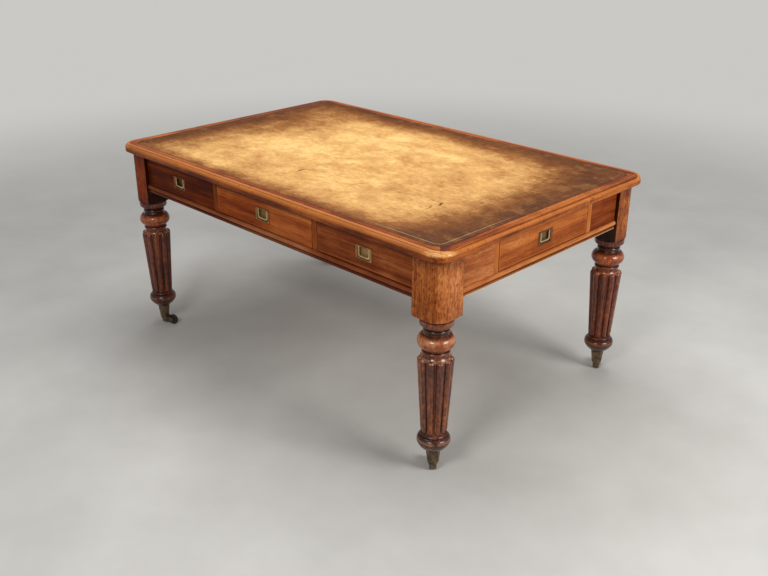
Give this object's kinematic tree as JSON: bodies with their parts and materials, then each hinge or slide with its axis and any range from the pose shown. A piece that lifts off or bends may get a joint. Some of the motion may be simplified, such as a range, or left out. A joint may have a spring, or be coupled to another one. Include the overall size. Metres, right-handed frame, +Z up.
{
  "type": "partners desk",
  "caption": "Mahogany partners writing desk on turned reeded legs with casters, leather top and shallow drawers with recessed brass bail handles on every side.",
  "frame": {"origin": "on the floor under the middle of the top", "axes": "+X along the long side, +Z up, the front long side faces -Y"},
  "size_m": [1.64, 1.07, 0.762],
  "materials": {
    "leg_mahogany": "french polish",
    "top_mahogany": "french polish",
    "frieze_mahogany": "french polish",
    "drawer_mahogany": "french polish",
    "lining_wood": "bare, worn",
    "carcase_wood": "bare",
    "desk_leather": "worn, waxed",
    "handle_brass": "aged",
    "caster_brass": "aged, dark",
    "wheel_iron": "dull"
  },
  "bodies": {
    "desk_frame": {"leg_front_right": "leg_mahogany", "leg_back_right": "leg_mahogany", "leg_back_left": "leg_mahogany", "leg_front_left": "leg_mahogany", "top_border_long_sides": "top_mahogany", "top_border_ends": "top_mahogany", "top_panel": "carcase_wood", "top_leather": "desk_leather", "lower_rails_long_sides": "frieze_mahogany", "lower_rails_ends": "frieze_mahogany", "upper_rails": "frieze_mahogany", "drawer_dividers": "frieze_mahogany", "end_panels": "frieze_mahogany", "cross_partitions": "carcase_wood", "side_partitions": "carcase_wood", "drawer_runners": "carcase_wood", "drawer_kickers": "carcase_wood", "top_glue_blocks": "carcase_wood", "drawer_stops": "carcase_wood", "caster_cups": "caster_brass"},
    "front_left_drawer": {"front_left_drawer_front": "drawer_mahogany", "front_left_drawer_lining": "lining_wood", "front_left_handle_plate": "handle_brass"},
    "front_left_bail": {"front_left_handle_bail": "handle_brass"},
    "front_middle_drawer": {"front_middle_drawer_front": "drawer_mahogany", "front_middle_drawer_lining": "lining_wood", "front_middle_handle_plate": "handle_brass"},
    "front_middle_bail": {"front_middle_handle_bail": "handle_brass"},
    "front_right_drawer": {"front_right_drawer_front": "drawer_mahogany", "front_right_drawer_lining": "lining_wood", "front_right_handle_plate": "handle_brass"},
    "front_right_bail": {"front_right_handle_bail": "handle_brass"},
    "back_left_drawer": {"back_left_drawer_front": "drawer_mahogany", "back_left_drawer_lining": "lining_wood", "back_left_handle_plate": "handle_brass"},
    "back_left_bail": {"back_left_handle_bail": "handle_brass"},
    "back_middle_drawer": {"back_middle_drawer_front": "drawer_mahogany", "back_middle_drawer_lining": "lining_wood", "back_middle_handle_plate": "handle_brass"},
    "back_middle_bail": {"back_middle_handle_bail": "handle_brass"},
    "back_right_drawer": {"back_right_drawer_front": "drawer_mahogany", "back_right_drawer_lining": "lining_wood", "back_right_handle_plate": "handle_brass"},
    "back_right_bail": {"back_right_handle_bail": "handle_brass"},
    "right_end_drawer": {"right_end_drawer_front": "drawer_mahogany", "right_end_drawer_lining": "lining_wood", "right_end_handle_plate": "handle_brass"},
    "right_end_bail": {"right_end_handle_bail": "handle_brass"},
    "left_end_drawer": {"left_end_drawer_front": "drawer_mahogany", "left_end_drawer_lining": "lining_wood", "left_end_handle_plate": "handle_brass"},
    "left_end_bail": {"left_end_handle_bail": "handle_brass"},
    "front_right_caster": {"caster_horn_front_right": "caster_brass"},
    "front_right_wheel": {"caster_wheel_front_right": "wheel_iron"},
    "back_right_caster": {"caster_horn_back_right": "caster_brass"},
    "back_right_wheel": {"caster_wheel_back_right": "wheel_iron"},
    "back_left_caster": {"caster_horn_back_left": "caster_brass"},
    "back_left_wheel": {"caster_wheel_back_left": "wheel_iron"},
    "front_left_caster": {"caster_horn_front_left": "caster_brass"},
    "front_left_wheel": {"caster_wheel_front_left": "wheel_iron"}
  },
  "joints": [
    {"name": "front_left_drawer_slide", "type": "slide", "parent": "desk_frame", "child": "front_left_drawer", "axis": [0, -1, 0], "range_m": [0, 0.18]},
    {"name": "front_left_bail_hinge", "type": "hinge", "parent": "front_left_drawer", "child": "front_left_bail", "pos_m": [-0.48275, -0.4978, 0.6813], "axis": [-1, 0, 0], "range_deg": [0, 95]},
    {"name": "front_middle_drawer_slide", "type": "slide", "parent": "desk_frame", "child": "front_middle_drawer", "axis": [0, -1, 0], "range_m": [0, 0.34]},
    {"name": "front_middle_bail_hinge", "type": "hinge", "parent": "front_middle_drawer", "child": "front_middle_bail", "pos_m": [0, -0.4978, 0.6813], "axis": [-1, 0, 0], "range_deg": [0, 95]},
    {"name": "front_right_drawer_slide", "type": "slide", "parent": "desk_frame", "child": "front_right_drawer", "axis": [0, -1, 0], "range_m": [0, 0.18]},
    {"name": "front_right_bail_hinge", "type": "hinge", "parent": "front_right_drawer", "child": "front_right_bail", "pos_m": [0.48275, -0.4978, 0.6813], "axis": [-1, 0, 0], "range_deg": [0, 95]},
    {"name": "back_left_drawer_slide", "type": "slide", "parent": "desk_frame", "child": "back_left_drawer", "axis": [0, 1, 0], "range_m": [0, 0.18]},
    {"name": "back_left_bail_hinge", "type": "hinge", "parent": "back_left_drawer", "child": "back_left_bail", "pos_m": [-0.48275, 0.4978, 0.6813], "axis": [1, 0, 0], "range_deg": [0, 95]},
    {"name": "back_middle_drawer_slide", "type": "slide", "parent": "desk_frame", "child": "back_middle_drawer", "axis": [0, 1, 0], "range_m": [0, 0.34]},
    {"name": "back_middle_bail_hinge", "type": "hinge", "parent": "back_middle_drawer", "child": "back_middle_bail", "pos_m": [0, 0.4978, 0.6813], "axis": [1, 0, 0], "range_deg": [0, 95]},
    {"name": "back_right_drawer_slide", "type": "slide", "parent": "desk_frame", "child": "back_right_drawer", "axis": [0, 1, 0], "range_m": [0, 0.18]},
    {"name": "back_right_bail_hinge", "type": "hinge", "parent": "back_right_drawer", "child": "back_right_bail", "pos_m": [0.48275, 0.4978, 0.6813], "axis": [1, 0, 0], "range_deg": [0, 95]},
    {"name": "right_end_drawer_slide", "type": "slide", "parent": "desk_frame", "child": "right_end_drawer", "axis": [1, 0, 0], "range_m": [0, 0.4]},
    {"name": "right_end_bail_hinge", "type": "hinge", "parent": "right_end_drawer", "child": "right_end_bail", "pos_m": [0.7828, 0, 0.6813], "axis": [0, -1, 0], "range_deg": [0, 95]},
    {"name": "left_end_drawer_slide", "type": "slide", "parent": "desk_frame", "child": "left_end_drawer", "axis": [-1, 0, 0], "range_m": [0, 0.4]},
    {"name": "left_end_bail_hinge", "type": "hinge", "parent": "left_end_drawer", "child": "left_end_bail", "pos_m": [-0.7828, 0, 0.6813], "axis": [0, 1, 0], "range_deg": [0, 95]},
    {"name": "front_right_caster_swivel", "type": "hinge", "parent": "desk_frame", "child": "front_right_caster", "pos_m": [0.745, -0.46, 0.036], "axis": [0, 0, 1], "continuous": true},
    {"name": "front_right_wheel_spin", "type": "hinge", "parent": "front_right_caster", "child": "front_right_wheel", "pos_m": [0.7153, -0.4303, 0.02], "axis": [-0.7071, -0.7071, 0], "continuous": true},
    {"name": "back_right_caster_swivel", "type": "hinge", "parent": "desk_frame", "child": "back_right_caster", "pos_m": [0.745, 0.46, 0.036], "axis": [0, 0, 1], "continuous": true},
    {"name": "back_right_wheel_spin", "type": "hinge", "parent": "back_right_caster", "child": "back_right_wheel", "pos_m": [0.72927, 0.49894, 0.02], "axis": [-0.9272, -0.3746, 0], "continuous": true},
    {"name": "back_left_caster_swivel", "type": "hinge", "parent": "desk_frame", "child": "back_left_caster", "pos_m": [-0.745, 0.46, 0.036], "axis": [0, 0, 1], "continuous": true},
    {"name": "back_left_wheel_spin", "type": "hinge", "parent": "back_left_caster", "child": "back_left_wheel", "pos_m": [-0.724, 0.49637, 0.02], "axis": [-0.866, 0.5, 0], "continuous": true},
    {"name": "front_left_caster_swivel", "type": "hinge", "parent": "desk_frame", "child": "front_left_caster", "pos_m": [-0.745, -0.46, 0.036], "axis": [0, 0, 1], "continuous": true},
    {"name": "front_left_wheel_spin", "type": "hinge", "parent": "front_left_caster", "child": "front_left_wheel", "pos_m": [-0.70506, -0.44702, 0.02], "axis": [-0.309, 0.9511, 0], "continuous": true}
  ]
}
